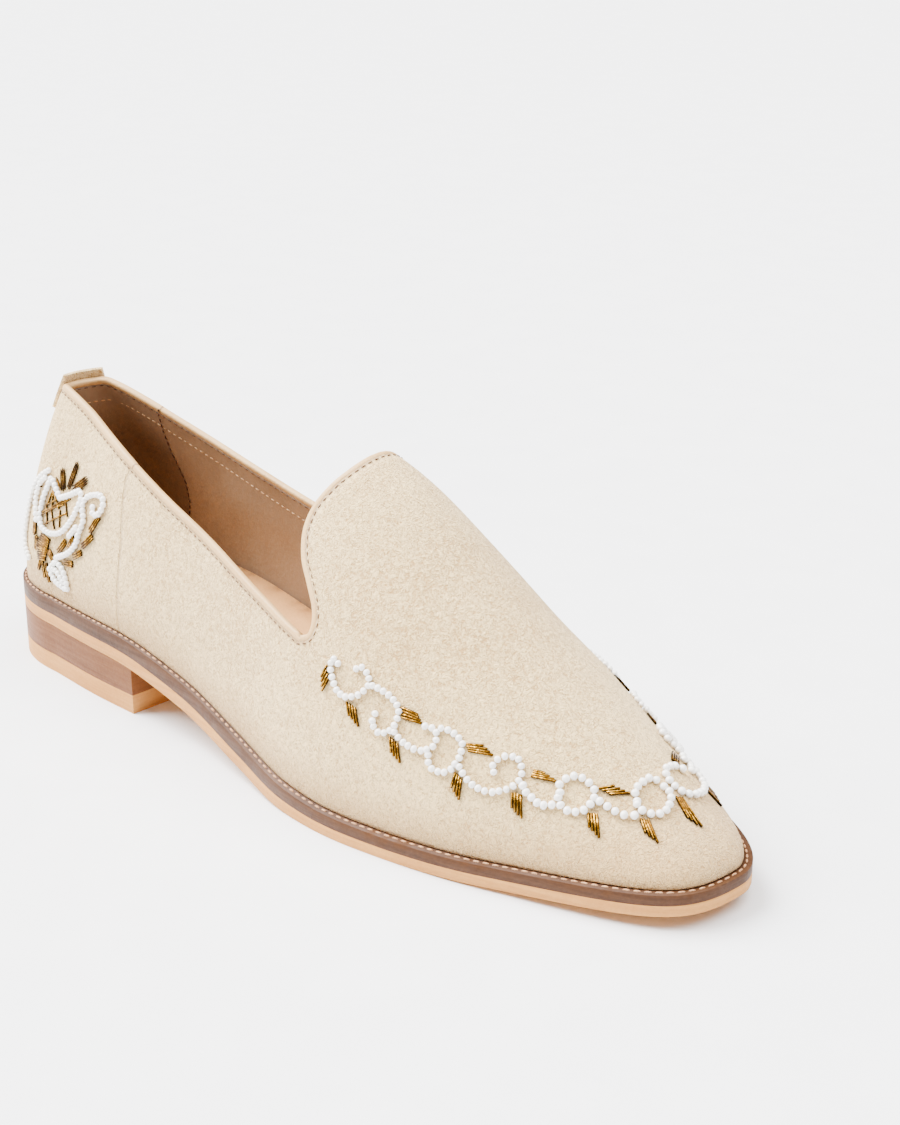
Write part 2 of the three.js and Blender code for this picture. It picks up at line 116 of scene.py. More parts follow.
def along(table, column):
    xs, ys = table["x"], table[column]
    gap = np.diff(xs)
    rise = np.diff(ys) / gap
    inner = (rise[:-1] * gap[1:] + rise[1:] * gap[:-1]) / (gap[:-1] + gap[1:])
    slope = np.concatenate([rise[:1], inner, rise[-1:]])

    def value(x):
        place = np.clip(x, xs[0], xs[-1])
        i = np.clip(np.searchsorted(xs, place, side="right") - 1, 0, len(xs) - 2)
        span = xs[i + 1] - xs[i]
        t = (place - xs[i]) / span
        return ((2 * t**3 - 3 * t**2 + 1) * ys[i] + (t**3 - 2 * t**2 + t) * span * slope[i]
                + (3 * t**2 - 2 * t**3) * ys[i + 1] + (t**3 - t**2) * span * slope[i + 1])

    return value


def on_sides(table, prefix=""):
    return {LATERAL: along(table, prefix + "lateral"), MEDIAL: along(table, prefix + "medial")}


def each(table, names):
    return [along(table, name) for name in names.split()]


half_width, collar_height = on_sides(sole_outline), on_sides(collar_line)
crown = on_sides(last_section, "crown_")
under_curve, outsole_thickness, welt_thickness = each(sole_profile, "under outsole welt")
ridge_height, ridge_shift, welt_margin = each(last_ridge, "height shift welt")
wall_height, wall_lean = each(last_section, "wall lean")


def underside(x):
    return np.maximum(under_curve(x), 0.0)


def welt_under(x):
    return underside(x) + outsole_thickness(x)


def welt_top(x):
    return welt_under(x) + welt_thickness(x)


def unit(vectors):
    return vectors / np.maximum(np.linalg.norm(vectors, axis=-1, keepdims=True), 1e-9)


def blend(a, b, share):
    return a * (1 - share) + b * share


def cubic(a, b, c, d, t):
    s = 1 - t
    return s**3 * a + 3 * s * s * t * b + 3 * s * t * t * c + t**3 * d


def soft_max(a, b, softness):
    return 0.5 * (a + b + np.hypot(a - b, softness))


def side_way(x):
    return 1 + (np.asarray(x, float) - HEEL_ARC_DEPTH) / (TOE_ARC_START - HEEL_ARC_DEPTH)


print("welt top at the ball:", round(float(welt_top(190.0)), 2), "mm")

# %% Outline of the sole and surface of the last


def outline_point(side, u):
    u = np.asarray(u, float)
    turn = np.clip(u, 0, 1) * np.pi / 2
    power = 2 / HEEL_ARC_POWER
    heel = (HEEL_ARC_DEPTH * (1 - np.maximum(np.cos(turn), 0) ** power),
            side * HEEL_HALF_WIDTH * np.maximum(np.sin(turn), 0) ** power)
    body_x = HEEL_ARC_DEPTH + (TOE_ARC_START - HEEL_ARC_DEPTH) * np.clip(u - 1, 0, 1)
    body = body_x, side * half_width[side](body_x)
    reach = SOLE_LENGTH - TOE_ARC_START
    before_y, start_y = side * half_width[side](np.array([TOE_ARC_START - 1, TOE_ARC_START]))
    slope = start_y - before_y
    first, second = TOE_HANDLES[side]
    t = np.clip(u - 2, 0, 1)
    toe = (cubic(TOE_ARC_START, TOE_ARC_START + first * reach, SOLE_LENGTH, SOLE_LENGTH, t),
           cubic(start_y, start_y + slope * first * reach,
                 TOE_TIP_Y + side * second * abs(start_y - TOE_TIP_Y), TOE_TIP_Y, t))
    found = [np.where(u <= 1, a, np.where(u <= 2, b, c)) for a, b, c in zip(heel, body, toe)]
    return np.stack(found, -1)


def inset_point(side, u, margin):
    """The outline moved inward by margin(x) millimetres."""
    u, step = np.asarray(u, float), 0.004
    later, sooner = np.minimum(u + step, 3), np.maximum(u - step, 0)
    way = unit(outline_point(side, later) - outline_point(side, sooner))
    point = outline_point(side, u)
    inward = margin(point[..., 0])
    x = point[..., 0] + way[..., 1] * side * inward
    y = point[..., 1] - way[..., 0] * side * inward
    x = np.where(u <= 0, inward, np.where(u >= 3, SOLE_LENGTH - inward, x))
    y = np.where(u <= 0, 0.0, np.where(u >= 3, TOE_TIP_Y, y))
    return np.stack([x, y], -1)


def ridge_place(u):
    x = (outline_point(LATERAL, u)[..., 0] + outline_point(MEDIAL, u)[..., 0]) / 2
    return -soft_max(-soft_max(x, HEEL_POLE_X, HEEL_POLE_BLEND), -TOE_POLE_X, TOE_POLE_BLEND)


def last_point(side, u, v):
    u, v = np.broadcast_arrays(np.asarray(u, float), np.asarray(v, float))
    x, y = np.moveaxis(inset_point(side, u, welt_margin), -1, 0)
    ridge_x = ridge_place(u)
    top = ridge_height(ridge_x)
    bottom = welt_top(x) + GAP
    steep = (ridge_height(ridge_x + 1) - ridge_height(ridge_x - 1)) / 2
    slope = np.where(ridge_x < LEVEL_CROWN_X, 0.0, np.maximum(steep, STEEPEST_CROWN))
    share = np.maximum(u - 2, 0) / 2
    rounding = blend(crown[side](x), crown[-side](x), share)
    inward = cubic(0, -wall_lean(x), 1 - rounding, 1, v)
    upward = cubic(0, wall_height(x), 1, 1, v)
    fall = 3 * (1 - v) * v * v * rounding * slope * (x - ridge_x)
    return np.stack([x + (ridge_x - x) * inward, y + (ridge_shift(ridge_x) - y) * inward,
                     bottom + (top - bottom) * upward + fall], -1)


def height_to_v(side, u, height):
    u, height = np.broadcast_arrays(np.asarray(u, float), np.asarray(height, float))
    low, high = np.zeros(u.shape), np.ones(u.shape)
    for _ in range(30):  # each turn halves the interval
        middle = (low + high) / 2
        below = last_point(side, u, middle)[..., 2] < height
        low, high = np.where(below, middle, low), np.where(below, high, middle)
    return (low + high) / 2


def collar_v(side, u):
    return height_to_v(side, u, collar_height[side](outline_point(side, u)[..., 0]))


def axes_at(side, u, v):
    """The place, the way along the shoe, the way up the leather and the way out of it."""
    u, v = np.broadcast_arrays(np.asarray(u, float), np.asarray(v, float))
    step = 0.003
    place = last_point(side, u, v)
    ahead = last_point(side, np.minimum(u + step, 3), v) - last_point(side, np.maximum(u - step, 0), v)
    climb = last_point(side, u, np.minimum(v + step, 1)) - last_point(side, u, np.maximum(v - step, 0))
    ahead = unit(ahead)
    out = unit(np.cross(climb, ahead) * side)
    return place, ahead, unit(np.cross(out, ahead) * -side), out


print("ball of the last:", last_point(LATERAL, 1.8, 0.3).round(1))

# %% [markdown]
# ## Camera, light and floor
#
# The camera stands where the photograph was taken: in front of the shoe's outer side, a little
# above it. Two wide lights, one from behind the heel and one from overhead, give the soft bright
# light of a catalogue picture and leave the front of the toe a little darker.

# %% Camera
SIGHT_AZIMUTH, SIGHT_ELEVATION = np.radians([44.02, 21.14])
TARGET = (np.array([114.18, 78.12, 30.0]) - FOOTPRINT_CENTRE) / 1000
DISTANCE = 0.68492


def look_from(azimuth, elevation, distance, target):
    back = np.array([np.sin(azimuth) * np.cos(elevation), -np.cos(azimuth) * np.cos(elevation),
                     np.sin(elevation)])
    right = np.array([np.cos(azimuth), np.sin(azimuth), 0.0])
    pose = np.eye(4)
    pose[:3] = np.stack([right, np.cross(back, right), back, target + back * distance], -1)
    return Matrix(pose.tolist())


def add(name, data):
    """Puts a new object with this data in the scene."""
    made = bpy.data.objects.new(name, data)
    bpy.context.scene.collection.objects.link(made)
    return made


camera = add("camera", bpy.data.cameras.new("camera"))
camera.data.sensor_fit = "HORIZONTAL"
camera.data.sensor_width = 36
camera.data.lens = 80
camera.matrix_world = look_from(SIGHT_AZIMUTH, SIGHT_ELEVATION, DISTANCE, TARGET)
bpy.context.scene.camera = camera
print("camera at", [round(value, 3) for value in camera.matrix_world.translation])

# %% Floor, world and lights
floor_mesh = bmesh.new()
bmesh.ops.create_grid(floor_mesh, x_segments=1, y_segments=1, size=6)
floor_data = bpy.data.meshes.new("floor")
floor_mesh.to_mesh(floor_data)
floor_mesh.free()
floor = add("floor", floor_data)

world = bpy.data.worlds.new("studio")
bpy.context.scene.world = world
world.use_nodes = True
background = world.node_tree.nodes["Background"].inputs
background["Color"].default_value = (1, 1, 1, 1)
background["Strength"].default_value = 0.5

sky_lights = [  # name, azimuth, elevation, strength, width of the light in degrees
    ("window", -68, 50, 16.5, 50),
    ("ceiling", 120, 74, 7.0, 60),
]
for name, azimuth, elevation, strength, width in sky_lights:
    light = add(name, bpy.data.lights.new(name, "SUN"))
    light.data.energy = strength
    light.data.angle = np.radians(width)
    light.matrix_world = look_from(*np.radians([azimuth, elevation]), 2.0, np.zeros(3))
print("lights:", len(sky_lights))

# %% [markdown]
# ## Writing materials as sums
#
# A `Wire` is the output of a node. Adding or multiplying wires adds Math nodes, so a mask can be
# one line. `Finish.node` makes any other node from its type, settings and values.

# %% Wires and finishes


class Wire:
    def __init__(self, finish, socket):
        self.finish, self.socket = finish, socket

    def maths(self, operation, other):
        return self.finish.node("ShaderNodeMath", {"operation": operation}, {0: self, 1: other})

    def __add__(self, other):
        return self.maths("ADD", other)

    def __sub__(self, other):
        return self.maths("SUBTRACT", other)

    def __rsub__(self, other):
        return self.finish.node("ShaderNodeMath", {"operation": "SUBTRACT"}, {0: other, 1: self})

    def __mul__(self, other):
        return self.maths("MULTIPLY", other)

    def between(self, low, high, start=0.0, end=1.0):
        values = {"Value": self, "From Min": low, "From Max": high, "To Min": start, "To Max": end}
        return self.finish.node("ShaderNodeMapRange", {"interpolation_type": "SMOOTHSTEP"}, values)


class Finish:
    def __init__(self, name, **constants):
        self.name = name
        self.material = bpy.data.materials.new(name)
        self.material.use_nodes = True
        self.tree = self.material.node_tree
        self.shader = self.tree.nodes["Principled BSDF"]
        for socket, value in constants.items():
            self.shader.inputs[socket.replace("_", " ")].default_value = value
        coordinates = self.tree.nodes.new("ShaderNodeTexCoord")
        self.place = Wire(self, coordinates.outputs["Object"])

    def node(self, kind, settings, values, output=0):
        made = self.tree.nodes.new(kind)
        for key, value in settings.items():
            if key == "stops":
                ramp = made.color_ramp.elements
                while len(ramp) < len(value):
                    ramp.new(1.0)
                for element, (position, colour) in zip(ramp, value):
                    element.position, element.color = position, (*colour, 1)
            else:
                setattr(made, key, value)
        for key, value in values.items():
            if isinstance(value, Wire):
                self.tree.links.new(value.socket, made.inputs[key])
            else:
                made.inputs[key].default_value = value
        return Wire(self, made.outputs[output])

    def noise(self, scale, detail=2.0, roughness=0.5, place=None, distortion=0.0):
        values = {"Vector": place or self.place, "Scale": scale, "Detail": detail,
                  "Roughness": roughness, "Distortion": distortion}
        return self.node("ShaderNodeTexNoise", {}, values)

    def stretched(self, x, y, z):
        return self.node("ShaderNodeMapping", {}, {"Vector": self.place, "Scale": (x, y, z)})

    def attribute(self, name):
        return self.node("ShaderNodeAttribute", {"attribute_name": name}, {}, "Fac")

    def ramp(self, factor, *stops):
        return self.node("ShaderNodeValToRGB", {"stops": stops}, {"Fac": factor})

    def mix(self, factor, first, second):
        """Mixes two colours. In a Mix node they are inputs 6 and 7, and the result is output 2."""
        first, second = (c if isinstance(c, Wire) else (*c, 1) for c in (first, second))
        return self.node("ShaderNodeMix", {"data_type": "RGBA"}, {0: factor, 6: first, 7: second}, 2)

    def bump(self, height, distance, normal=None):
        values = {"Height": height, "Distance": distance, "Strength": 1.0}
        if normal:
            values["Normal"] = normal
        return self.node("ShaderNodeBump", {}, values)

    def feed(self, **wires):
        for socket, wire in wires.items():
            self.tree.links.new(wire.socket, self.shader.inputs[socket.replace("_", " ")])
        return self


def linear(red, green, blue):
    """A colour in screen values, turned into the amounts of light that the renderer counts."""
    return tuple(((c / 255 + 0.055) / 1.055) ** 2.4 for c in (red, green, blue))


print("cream in linear light:", [round(c, 3) for c in linear(232, 199, 140)])

# %% [markdown]
# ## Suede
#
# Suede is the brushed flesh side of leather. Its short nap lies in small patches that catch the
# light differently, so the colour is a mix of four sizes of blotch, and the bump is a fine
# wormy grain with fibres on top. A little sheen stands for the fuzz seen edge on. `seam`, `rise`
# and `edge` are distances in millimetres from the back seam, from the welt and from the collar.

# %% Suede finish


def suede_finish(name, light, shade):
    finish = Finish(name, Roughness=0.95, Sheen_Weight=0.25, Sheen_Roughness=0.6,
                    Specular_IOR_Level=0.15)
    wide = finish.noise(22, 2, 0.5)
    swirl = finish.noise(420, 2, 0.6, distortion=1.8)
    worm = finish.noise(1050, 2, 0.6, distortion=1.4)
    hair = finish.noise(2600, 2, 0.7)
    patch = worm * 0.55 + swirl * 0.2 + wide * 0.15 + hair * 0.1
    bright = tuple(min(c * 1.25, 1) for c in light)
    colour = finish.ramp(patch, (0.42, shade), (0.5, light), (0.58, bright))
    height = worm * 0.65 + swirl * 0.2 + hair * 0.15
    return finish, colour, finish.bump(height, 0.0016)


cream_light, cream_shade = linear(232, 199, 140), linear(196, 154, 94)
suede, suede_colour, suede_normal = suede_finish("suede", cream_light, cream_shade)
seam_distance = suede.attribute("seam").maths("ABSOLUTE", 0.0)
seam_dark = 1 - seam_distance.between(0.2, 1.0)
suede_colour = suede.mix(seam_dark * 0.4, suede_colour, linear(150, 116, 76))
# Darker low on the upper, within 16 mm of the welt and higher up at the toe: partly painted shade,
# partly a darker grading of the suede.
low = 1 - suede.attribute("rise").between(0.0, 16.0)
suede_colour = suede.mix(low * 0.6, suede_colour, linear(184, 138, 80))
# Painted shade: a darker band on the suede just below the collar, where the binding overhangs it.
rim = 1 - suede.attribute("edge").between(0.2, 1.7)
suede_colour = suede.mix(rim * 0.6, suede_colour, linear(150, 112, 68))
suede.feed(Base_Color=suede_colour, Normal=suede.bump(1 - seam_dark, 0.0003, suede_normal))
print("suede ready")

# %% [markdown]
# ## Smooth leathers
#
# The binding, lining and sock are smooth calf: fine pores, faint creases and a soft gloss. One
# function makes them all from two colours. The sole leathers are vegetable tanned, dyed or bare,
# and cut edges show fibres that run along the sole.

# %% Leather finishes


def smooth_leather(name, light, shade, roughness=0.5, pore=900.0):
    finish = Finish(name, Specular_IOR_Level=0.4)
    cells = finish.node("ShaderNodeTexVoronoi", {}, {"Vector": finish.place, "Scale": pore})
    blotch = finish.noise(45, 4, 0.6)
    fine = finish.noise(1400, 2, 0.5)
    colour = finish.ramp(blotch * 0.7 + fine * 0.3, (0.35, linear(*shade)), (0.65, linear(*light)))
    height = cells * 0.6 + fine * 0.4
    gloss = blotch.between(0.3, 0.7, roughness - 0.08, roughness + 0.08)
    finish.colour = colour
    return finish.feed(Base_Color=colour, Roughness=gloss, Normal=finish.bump(height, 0.00012))


def edge_leather(name, light, shade, roughness=0.5):
    """Cut sole leather, with fibres along the sole."""
    finish = Finish(name, Specular_IOR_Level=0.15)
    fibres = finish.noise(60, 5, 0.65, finish.stretched(0.5, 0.5, 14))
    blotch = finish.noise(30, 3, 0.6)
    speck = finish.noise(900, 2, 0.6)
    tone = fibres * 0.5 + blotch * 0.3 + speck * 0.2
    colour = finish.ramp(tone, (0.36, linear(*shade)), (0.62, linear(*light)))
    gloss = tone.between(0.3, 0.7, roughness + 0.1, roughness - 0.08)
    return finish.feed(Base_Color=colour, Roughness=gloss,
                       Normal=finish.bump(fibres * 0.6 + speck * 0.4, 0.00015))


binding_leather = smooth_leather("binding_leather", (218, 178, 120), (196, 154, 100))
lining_leather = smooth_leather("lining_leather", (164, 138, 110), (144, 118, 92), 0.6, 600)
sock_leather = smooth_leather("sock_leather", (236, 176, 112), (214, 154, 94), 0.5, 700)
welt_leather = edge_leather("welt_leather", (84, 52, 28), (58, 34, 18))
natural_leather = edge_leather("natural_leather", (206, 148, 82), (182, 124, 66), 0.6)
stack_leather = edge_leather("stack_leather", (120, 74, 38), (92, 54, 27))
joint_line = 1 - binding_leather.attribute("joint").maths("ABSOLUTE", 0.0).between(0.15, 0.5)
binding_colour = binding_leather.mix(joint_line * 0.7, binding_leather.colour, linear(96, 62, 38))
binding_leather.feed(Base_Color=binding_colour)
# Behind the pocket seam the lining is painted darker with depth below the collar: painted shade deep in
# the heel pocket.
depth = lining_leather.attribute("edge").between(3.0, 26.0)
behind = 1 - lining_leather.attribute("pocket").between(-0.3, 0.3)
pocket_colour_with_shade = lining_leather.mix(depth, linear(150, 126, 102), linear(112, 86, 62))
lining_leather.feed(Base_Color=lining_leather.mix(behind, lining_leather.colour, pocket_colour_with_shade))
print("leathers ready")

# %% [markdown]
# ## Thread, pearl and gold
#
# Seed pearls are opaque white glass with a glossy coat. The gold pieces are cut lengths of
# polished metal coil. `crown` is 1 on top of a rod and -1 underneath. The gold is painted dark
# towards the leather and bright in a thin line along the top: painted shade and a painted
# highlight. The pearls are painted greyer underneath, as painted shade.

# %% Trim finishes


def thread_finish(name, light, shade):
    finish = Finish(name, Roughness=0.7, Specular_IOR_Level=0.3)
    twist = finish.noise(2600, 1, 0.5)
    colour = finish.ramp(twist, (0.35, linear(*shade)), (0.65, linear(*light)))
    return finish.feed(Base_Color=colour, Normal=finish.bump(twist, 0.0001))


pale_thread = thread_finish("pale_thread", (206, 160, 118), (160, 112, 78))
dark_thread = thread_finish("dark_thread", (112, 80, 54), (76, 50, 34))
lining_thread = thread_finish("lining_thread", (232, 196, 150), (190, 146, 100))
brown_thread = thread_finish("brown_thread", (84, 54, 36), (58, 36, 24))

pearl = Finish("pearl", Specular_IOR_Level=0.6, Coat_Roughness=0.15)
bead_tone = pearl.noise(420, 1, 0.5)
# Painted shade: the pearls are greyer underneath, next to the leather, where crown is low; the rest of
# the tone is random.
pearl_tone_and_shade = bead_tone * 0.5 + pearl.attribute("crown").between(-0.7, 0.6) * 0.5
pearl_colour = pearl.ramp(pearl_tone_and_shade, (0.2, linear(196, 182, 160)), (0.62, linear(252, 249, 244)))
pearl.feed(Base_Color=pearl_colour,
           Roughness=bead_tone.between(0.3, 0.7, 0.18, 0.34),
           Coat_Weight=bead_tone.between(0.2, 0.8, 0.3, 0.6))

gold = Finish("gold", Metallic=1.0)
tarnish = gold.noise(900, 3, 0.6)
coil = gold.noise(3000, 1, 0.5)
# Painted shade and painted highlight: dark on the sides next to the leather, bright in a thin line on
# top of each rod, with random tarnish mixed in.
gold_shade_highlight_and_tarnish = gold.attribute("crown") * 0.5 + 0.5 + (tarnish - 0.5) * 0.25
gold.feed(Base_Color=gold.ramp(gold_shade_highlight_and_tarnish, (0.5, linear(20, 12, 2)), (0.86, linear(62, 38, 6)),
                               (0.96, linear(108, 70, 12)), (1.0, linear(210, 156, 58))),
          Roughness=tarnish.between(0.3, 0.7, 0.4, 0.22), Normal=gold.bump(coil, 0.0001))
print("trim finishes ready")

# %% [markdown]
# ## Making pieces
#
# A sheet of leather starts as a flat grid and is then pulled into place, point by point, by the
# surface functions above. Each finished piece rides on the shoe's only body.

# %% Helpers for pieces


def grid_sheet(points, values=None):
    """A grid pulled onto an array of points (steps along, steps across, 3), in millimetres."""
    steps, across = points.shape[:2]
    sheet = bmesh.new()
    bmesh.ops.create_grid(sheet, x_segments=steps - 1, y_segments=across - 1, size=1)
    layers = {name: sheet.verts.layers.float.new(name) for name in (values or {})}
    metres = (points - FOOTPRINT_CENTRE) / 1000
    for vert in sheet.verts:
        i = round((vert.co.x + 1) / 2 * (steps - 1))
        j = round((vert.co.y + 1) / 2 * (across - 1))
        vert.co = metres[i, j]
        for name, layer in layers.items():
            vert[layer] = values[name][i, j]
    return sheet


def add_to(target, part):
    """Joins one bmesh into another."""
    data = bpy.data.meshes.new("part")
    part.to_mesh(data)
    part.free()
    target.from_mesh(data)
    bpy.data.meshes.remove(data)


def close(sheet, gap=0.00002):
    """Welds points that are nearer than the gap, in metres, and turns every face outward."""
    bmesh.ops.remove_doubles(sheet, verts=sheet.verts, dist=gap)
    bmesh.ops.dissolve_degenerate(sheet, edges=sheet.edges, dist=gap / 4)
    bmesh.ops.recalc_face_normals(sheet, faces=sheet.faces)


def piece(name, sheet, finishes, node=None):
    data = bpy.data.meshes.new(name)
    sheet.to_mesh(data)
    sheet.free()
    for finish in finishes:
        data.materials.append(finish.material)
    data.shade_smooth()
    made = add(name, data)
    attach(made, "root")
    if node:
        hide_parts(node)
    print(name, len(data.polygons), "faces")
    return made


def modify(made, name, kind, **settings):
    modifier = made.modifiers.new(name, kind)
    for key, value in settings.items():
        setattr(modifier, key, value)


print("piece makers ready")

# %% [markdown]
# ## Sole
#
# The sole is built up in flat layers: the heel's top lift and stack, the outsole and the welt.
# Each starts as a grid laid across the outline, is extruded to its thickness and has its rim
# rounded, as a finished leather edge is.

# %% Sole layers


def sole_steps(last_way):
    steps = np.concatenate([np.linspace(k, k + 1, count)[:-1] for k, count in enumerate((30, 90, 40))])
    steps = steps[steps < last_way - 1e-6]
    return np.append(steps, last_way)


def sole_layer(name, under, over, margin, finish, node, last_way=3.0, rim=0.6):
    ways = sole_steps(last_way)
    sides = []
    for side in SIDES:
        plan = inset_point(side, ways, margin)
        if last_way < 3:
            plan[-1, 0] = HEEL_BREAST_X
        sides.append(plan)
    share = np.linspace(0, 1, 9)[None, :, None]
    plan = blend(sides[0][:, None], sides[1][:, None], share)
    bottom = np.concatenate([plan, under(plan[..., :1])], -1)
    layer = grid_sheet(bottom)
    bmesh.ops.remove_doubles(layer, verts=layer.verts, dist=0.00002)
    risen = bmesh.ops.extrude_face_region(layer, geom=layer.faces[:], use_keep_orig=True)
    for item in risen["geom"]:
        if isinstance(item, bmesh.types.BMVert):
            x = item.co.x * 1000 + FOOTPRINT_CENTRE[0]
            item.co.z = float(over(np.array(x))) / 1000
    close(layer)
    sharp = [edge for edge in layer.edges if edge.is_manifold and edge.calc_face_angle() > 0.9]
    bmesh.ops.bevel(layer, geom=sharp, offset=rim / 1000, segments=3, profile=0.5, affect="EDGES",
                    material=-1, clamp_overlap=True)
    close(layer, 0.000005)
    piece(name, layer, [finish], node)


def level(height):
    return lambda x: 0 * x + height


nothing = level(0)
breast_way = float(side_way(HEEL_BREAST_X))
sole_layer("outsole_leather", underside, lambda x: welt_under(x) - 0.05, nothing,
           natural_leather, "outsole")
sole_layer("welt_strip", welt_under, welt_top, nothing, welt_leather, "welt")
sole_layer("heel_lifts", level(TOP_LIFT_HEIGHT + 0.1), lambda x: underside(x) - 0.1, nothing,
           stack_leather, "heel_stack", breast_way, 0.35)
sole_layer("heel_bottom", nothing, level(TOP_LIFT_HEIGHT), nothing, natural_leather,
           "heel_top_lift", breast_way, 0.5)
sole_layer("sock", lambda x: welt_top(x) + GAP, lambda x: welt_top(x) + GAP + 2.6,
           lambda x: welt_margin(x) + 2.5, sock_leather, "insole")

# %% [markdown]
# ## Upper
#
# The suede is one sheet: columns of points climb from the welt to the collar, to the edge of the
# tongue or to the ridge of the toe. A Solidify modifier gives it its wall, with the lining
# leather on the inside. Small listed swells and troughs keep it from looking like a shell
# of plastic.

# %% Columns of the upper


def through(rows, place):
    """Catmull-Rom curve through the rows, where place 1.5 is midway from row 1 to row 2."""
    ends = np.vstack([2 * rows[0] - rows[1], rows, 2 * rows[-1] - rows[-2]])
    i = np.minimum(place.astype(int), len(rows) - 2)
    t = (place - i)[:, None]
    a, b, c, d = ends[i], ends[i + 1], ends[i + 2], ends[i + 3]
    bend, twist = 2 * a - 5 * b + 4 * c - d, 3 * b - a - 3 * c + d
    return 0.5 * (2 * b + (c - a) * t + bend * t**2 + twist * t**3)


QUARTER_SPREAD, TONGUE_SPREAD, COLUMN_SPREAD = 0.9, 0.6, 4  # powers that crowd the points
TOE_COLUMNS_WAY = 2.16


def upper_columns(side, quarter=84, tongue=56, vamp=40, toe=30):
    """Where each column starts, where it ends and how high it climbs."""
    notch = float(side_way(NOTCH_X))
    quarter_u = notch * (np.arange(quarter) / quarter) ** QUARTER_SPREAD
    quarter_v = collar_v(side, quarter_u)
    part = np.linspace(0, 1, tongue + 1)
    rows = np.stack([tongue_line["x"], tongue_line["height"]], -1)
    edge = through(rows, part * (len(rows) - 1))
    tongue_foot = side_way(NOTCH_X + (TONGUE_FOOT_X - NOTCH_X) * part**TONGUE_SPREAD)
    tongue_top = side_way(edge[:, 0])
    tongue_v = height_to_v(side, tongue_top, edge[:, 1])
    tongue_v[-1] = 1
    part = np.arange(1, vamp + 1) / vamp
    vamp_foot = blend(side_way(TONGUE_FOOT_X), TOE_COLUMNS_WAY, part)
    vamp_top = blend(side_way(TONGUE_CENTRE_X), TOE_COLUMNS_WAY, part)
    toe_u = TOE_COLUMNS_WAY + (3 - TOE_COLUMNS_WAY) * np.arange(1, toe + 1) / toe
    foot = np.concatenate([quarter_u, tongue_foot, vamp_foot, toe_u])
    top = np.concatenate([quarter_u, tongue_top, vamp_top, toe_u])
    climb = np.concatenate([quarter_v, tongue_v, np.ones(vamp + toe)])
    return foot, top, climb, quarter + tongue + 1


swells = columns("side x height along up depth", [
    (-1, 176, 40, 16, 5, -0.35), (-1, 168, 31, 14, 4, 0.35), (-1, 205, 52, 20, 7, -0.3),
    (-1, 100, 42, 26, 8, 0.4), (-1, 70, 56, 20, 9, -0.35), (-1, 134, 32, 20, 6, -0.4),
    (-1, 228, 36, 14, 5, 0.25), (1, 176, 40, 16, 5, -0.35), (1, 205, 50, 20, 7, -0.3),
    (1, 104, 40, 26, 8, 0.4), (1, 72, 54, 20, 9, -0.35), (1, 136, 32, 20, 6, -0.4)])


def swell(side, points):
    depth = np.zeros(points.shape[:2])
    for way, x, height, along_by, up_by, most in zip(*swells.values()):
        if way == side:
            reach = ((points[..., 0] - x) / along_by) ** 2 + ((points[..., 2] - height) / up_by) ** 2
            depth += most * np.exp(-reach)
    return depth


back_seam = columns("height x", [
    (8, 75), (22, 74), (37, 73.6), (46, 73.2), (54, 72), (64, 69.4), (69, 68.4), (73, 67.4), (77, 68.2),
    (90, 70)])
pocket_seam = columns("height x", [
    (14, 31), (24, 33), (38, 36.5), (47, 39.5), (55, 40.5), (62, 39.5), (67, 38.5), (75, 39), (82, 41),
    (84.5, 42.5)])


def beyond(seam, points):
    """How far ahead of a seam each point lies."""
    return points[..., 0] - np.interp(points[..., 2], seam["height"], seam["x"])


def upper_grid(side, rows=56):
    foot, top, climb, count = upper_columns(side)
    part = np.linspace(0, 1, rows)[None, :]
    u = foot[:, None] + (top - foot)[:, None] * part**COLUMN_SPREAD
    place, _, _, out = axes_at(side, u, climb[:, None] * part)
    points = place + out * (swell(side, place) * np.sin(np.pi * part) ** 0.5)[..., None]
    toe_share = np.clip((points[..., 0] - TOE_ARC_START) / 30, 0, 1)
    rise = (points[..., 2] - welt_top(points[..., 0])) / (1 + toe_share)
    steps = np.linalg.norm(np.diff(points, axis=1), axis=2)
    to_edge = np.concatenate([np.cumsum(steps[:, ::-1], 1)[:, ::-1], np.zeros((len(points), 1))], 1)
    to_edge[count:] = 99  # columns that end on the ridge have no edge
    return points, {"seam": beyond(back_seam, points), "pocket": beyond(pocket_seam, points),
                    "rise": rise, "edge": to_edge}


upper_sheet = bmesh.new()
for layer_name in ("seam", "pocket", "rise", "edge"):
    upper_sheet.verts.layers.float.new(layer_name)
for side in SIDES:
    add_to(upper_sheet, grid_sheet(*upper_grid(side)))
close(upper_sheet, 0.00004)
if sum(face.normal.z for face in upper_sheet.faces) < 0:
    bmesh.ops.reverse_faces(upper_sheet, faces=upper_sheet.faces)
upper = piece("suede_upper", upper_sheet, [suede, lining_leather], "upper")
modify(upper, "wall", "SOLIDIFY", thickness=WALL / 1000, offset=-1, material_offset=1,
       material_offset_rim=1, use_even_offset=True, use_quality_normals=True)

# %% [markdown]
# ## Collar binding and heel tab
#
# A strip of pale leather is folded over the raw edge. It is swept round the foot opening as a
# rounded section, a little wider than the wall it holds. The tab behind it is a short strip of
# suede that stands above the collar.

# %% Stations round the collar


def around(lateral, medial):
    """Joins two halves from heel to toe into one ring, with each shared end once."""
    return np.concatenate([lateral, medial[1:-1][::-1]])


